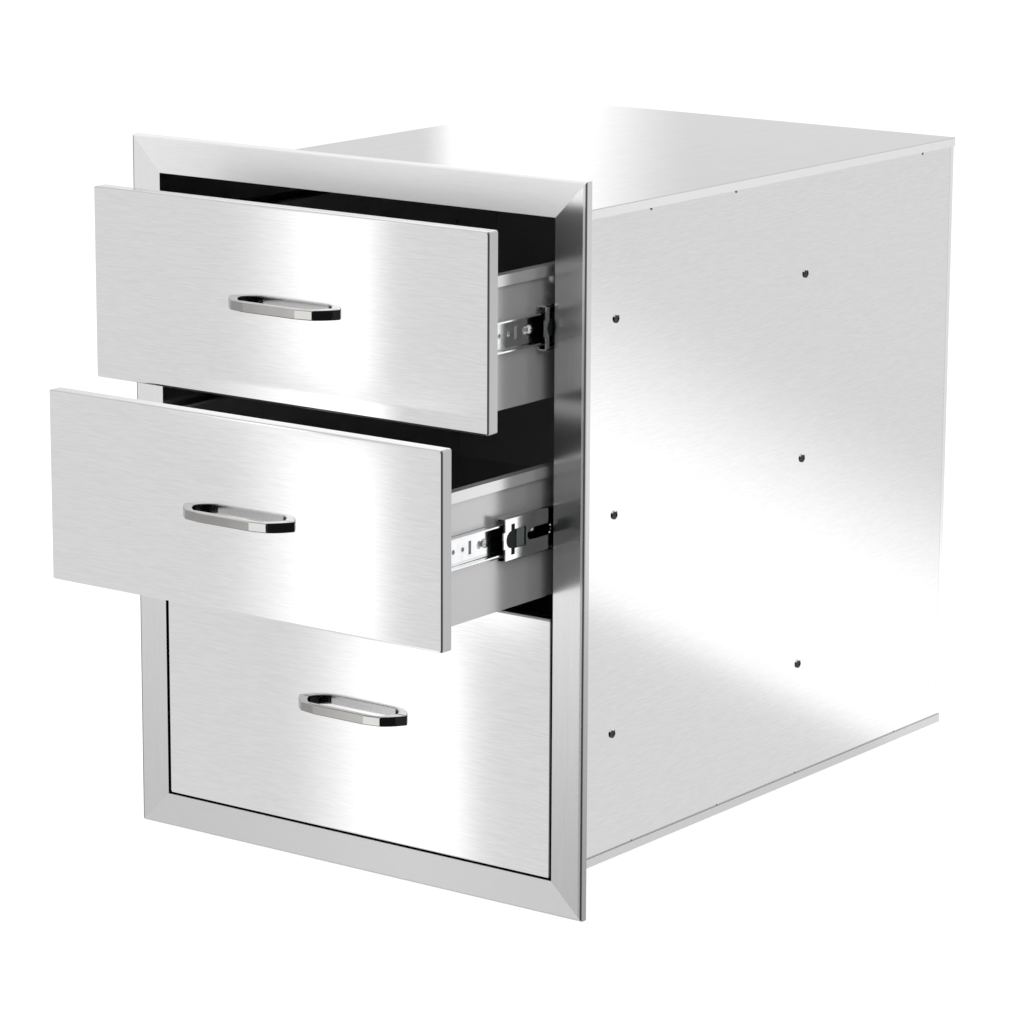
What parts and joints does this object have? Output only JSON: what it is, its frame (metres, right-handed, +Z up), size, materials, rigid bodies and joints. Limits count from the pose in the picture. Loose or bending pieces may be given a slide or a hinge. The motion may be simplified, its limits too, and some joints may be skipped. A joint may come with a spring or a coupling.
{
  "type": "outdoor kitchen drawer unit",
  "caption": "Built-in outdoor kitchen drawer unit: mitred stainless trim frame, folded sheet cabinet and drawers with bow handles on full-extension ball-bearing slides.",
  "frame": {"origin": "centre of the cabinet's width on its flat underside, in the plane of the wall face that the trim frame's rear rim seats against", "axes": "+X to the right seen from the front, +Y to the back, +Z up; the drawers open towards -Y"},
  "size_m": [0.4572, 0.7508, 0.5842],
  "materials": {
    "brushed_stainless": "brushed, grain level across the drawer fronts and along each trim strip",
    "cabinet_stainless": "fine satin mill finish",
    "tray_stainless": "satin",
    "handle_steel": "satin nickel look",
    "zinc_plated": "bright zinc plating",
    "cage_steel": "plain rolled steel",
    "ball_steel": "polished",
    "black_plastic": "smooth moulded",
    "screw_steel": "bright plated"
  },
  "bodies": {
    "cabinet": {"trim_top_rail": "brushed_stainless", "trim_bottom_rail": "brushed_stainless", "trim_left_stile": "brushed_stainless", "trim_right_stile": "brushed_stainless", "cabinet_left_side": "cabinet_stainless", "cabinet_right_side": "cabinet_stainless", "cabinet_top": "cabinet_stainless", "cabinet_bottom": "cabinet_stainless", "cabinet_back": "cabinet_stainless", "cabinet_slide_screws": "screw_steel", "top_left_slide_outer": "zinc_plated", "top_right_slide_outer": "zinc_plated", "middle_left_slide_outer": "zinc_plated", "middle_right_slide_outer": "zinc_plated", "bottom_left_slide_outer": "zinc_plated", "bottom_right_slide_outer": "zinc_plated"},
    "top_drawer": {"top_drawer_front": "brushed_stainless", "top_drawer_tray": "tray_stainless", "top_drawer_handle": "handle_steel", "top_handle_screws": "screw_steel", "top_drawer_slide_screws": "screw_steel", "top_left_slide_inner": "zinc_plated", "top_right_slide_inner": "zinc_plated"},
    "top_middle_members": {"top_left_slide_middle": "zinc_plated", "top_right_slide_middle": "zinc_plated", "top_slide_latches": "black_plastic"},
    "top_outer_cages": {"top_outer_ball_cages": "cage_steel", "top_outer_balls": "ball_steel"},
    "top_inner_cages": {"top_inner_ball_cages": "cage_steel", "top_inner_balls": "ball_steel"},
    "middle_drawer": {"middle_drawer_front": "brushed_stainless", "middle_drawer_tray": "tray_stainless", "middle_drawer_handle": "handle_steel", "middle_handle_screws": "screw_steel", "middle_drawer_slide_screws": "screw_steel", "middle_left_slide_inner": "zinc_plated", "middle_right_slide_inner": "zinc_plated"},
    "middle_middle_members": {"middle_left_slide_middle": "zinc_plated", "middle_right_slide_middle": "zinc_plated", "middle_slide_latches": "black_plastic"},
    "middle_outer_cages": {"middle_outer_ball_cages": "cage_steel", "middle_outer_balls": "ball_steel"},
    "middle_inner_cages": {"middle_inner_ball_cages": "cage_steel", "middle_inner_balls": "ball_steel"},
    "bottom_drawer": {"bottom_drawer_front": "brushed_stainless", "bottom_drawer_tray": "tray_stainless", "bottom_drawer_handle": "handle_steel", "bottom_handle_screws": "screw_steel", "bottom_drawer_slide_screws": "screw_steel", "bottom_left_slide_inner": "zinc_plated", "bottom_right_slide_inner": "zinc_plated"},
    "bottom_middle_members": {"bottom_left_slide_middle": "zinc_plated", "bottom_right_slide_middle": "zinc_plated", "bottom_slide_latches": "black_plastic"},
    "bottom_outer_cages": {"bottom_outer_ball_cages": "cage_steel", "bottom_outer_balls": "ball_steel"},
    "bottom_inner_cages": {"bottom_inner_ball_cages": "cage_steel", "bottom_inner_balls": "ball_steel"}
  },
  "joints": [
    {"name": "top_drawer_slide", "type": "slide", "parent": "cabinet", "child": "top_drawer", "axis": [0, -1, 0], "range_m": [-0.0822, 0.4178]},
    {"name": "top_middle_members_slide", "type": "slide", "parent": "cabinet", "child": "top_middle_members", "axis": [0, -1, 0], "range_m": [-0.0436, 0.2215]},
    {"name": "top_outer_cages_slide", "type": "slide", "parent": "cabinet", "child": "top_outer_cages", "axis": [0, -1, 0], "range_m": [-0.0218, 0.1108]},
    {"name": "top_inner_cages_slide", "type": "slide", "parent": "cabinet", "child": "top_inner_cages", "axis": [0, -1, 0], "range_m": [-0.0629, 0.3197]},
    {"name": "middle_drawer_slide", "type": "slide", "parent": "cabinet", "child": "middle_drawer", "axis": [0, -1, 0], "range_m": [-0.1392, 0.3608]},
    {"name": "middle_middle_members_slide", "type": "slide", "parent": "cabinet", "child": "middle_middle_members", "axis": [0, -1, 0], "range_m": [-0.0738, 0.1913]},
    {"name": "middle_outer_cages_slide", "type": "slide", "parent": "cabinet", "child": "middle_outer_cages", "axis": [0, -1, 0], "range_m": [-0.0369, 0.0957]},
    {"name": "middle_inner_cages_slide", "type": "slide", "parent": "cabinet", "child": "middle_inner_cages", "axis": [0, -1, 0], "range_m": [-0.1065, 0.2761]},
    {"name": "bottom_drawer_slide", "type": "slide", "parent": "cabinet", "child": "bottom_drawer", "axis": [0, -1, 0], "range_m": [0, 0.5]},
    {"name": "bottom_middle_members_slide", "type": "slide", "parent": "cabinet", "child": "bottom_middle_members", "axis": [0, -1, 0], "range_m": [0, 0.265]},
    {"name": "bottom_outer_cages_slide", "type": "slide", "parent": "cabinet", "child": "bottom_outer_cages", "axis": [0, -1, 0], "range_m": [0, 0.1325]},
    {"name": "bottom_inner_cages_slide", "type": "slide", "parent": "cabinet", "child": "bottom_inner_cages", "axis": [0, -1, 0], "range_m": [0, 0.3825]}
  ],
  "couplings": [
    {"joint": "top_middle_members_slide", "follows": "top_drawer_slide", "ratio": 0.53},
    {"joint": "top_outer_cages_slide", "follows": "top_drawer_slide", "ratio": 0.265},
    {"joint": "top_inner_cages_slide", "follows": "top_drawer_slide", "ratio": 0.765},
    {"joint": "middle_middle_members_slide", "follows": "middle_drawer_slide", "ratio": 0.53},
    {"joint": "middle_outer_cages_slide", "follows": "middle_drawer_slide", "ratio": 0.265},
    {"joint": "middle_inner_cages_slide", "follows": "middle_drawer_slide", "ratio": 0.765},
    {"joint": "bottom_middle_members_slide", "follows": "bottom_drawer_slide", "ratio": 0.53},
    {"joint": "bottom_outer_cages_slide", "follows": "bottom_drawer_slide", "ratio": 0.265},
    {"joint": "bottom_inner_cages_slide", "follows": "bottom_drawer_slide", "ratio": 0.765}
  ]
}
